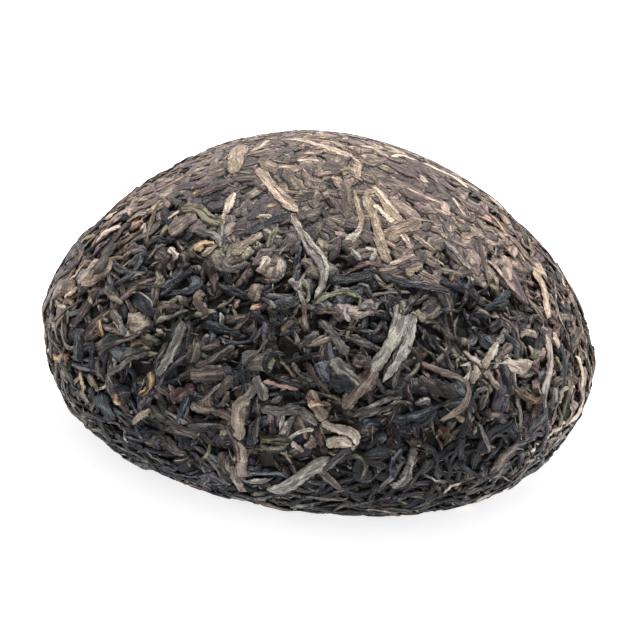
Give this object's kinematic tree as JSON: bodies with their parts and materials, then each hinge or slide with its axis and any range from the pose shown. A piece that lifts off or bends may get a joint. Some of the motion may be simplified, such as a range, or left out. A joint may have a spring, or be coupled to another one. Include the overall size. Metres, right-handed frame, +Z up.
{
  "type": "pu-erh tuocha",
  "caption": "Dome-shaped cake of pressed dark tea leaves with a hollow underneath, standing on its rim; broken up and steeped to make tea.",
  "frame": {"origin": "middle of the flat foot ring, on the surface that the tea stands on", "axes": "+Z up through the crown of the dome; -Y is the side that faces the viewer, +X is to the viewer's right"},
  "size_m": [0.1073, 0.1053, 0.0575],
  "materials": {
    "pressed_tea": "matte dry leaf"
  },
  "bodies": {
    "root": {"tuocha": "pressed_tea"}
  },
  "joints": []
}
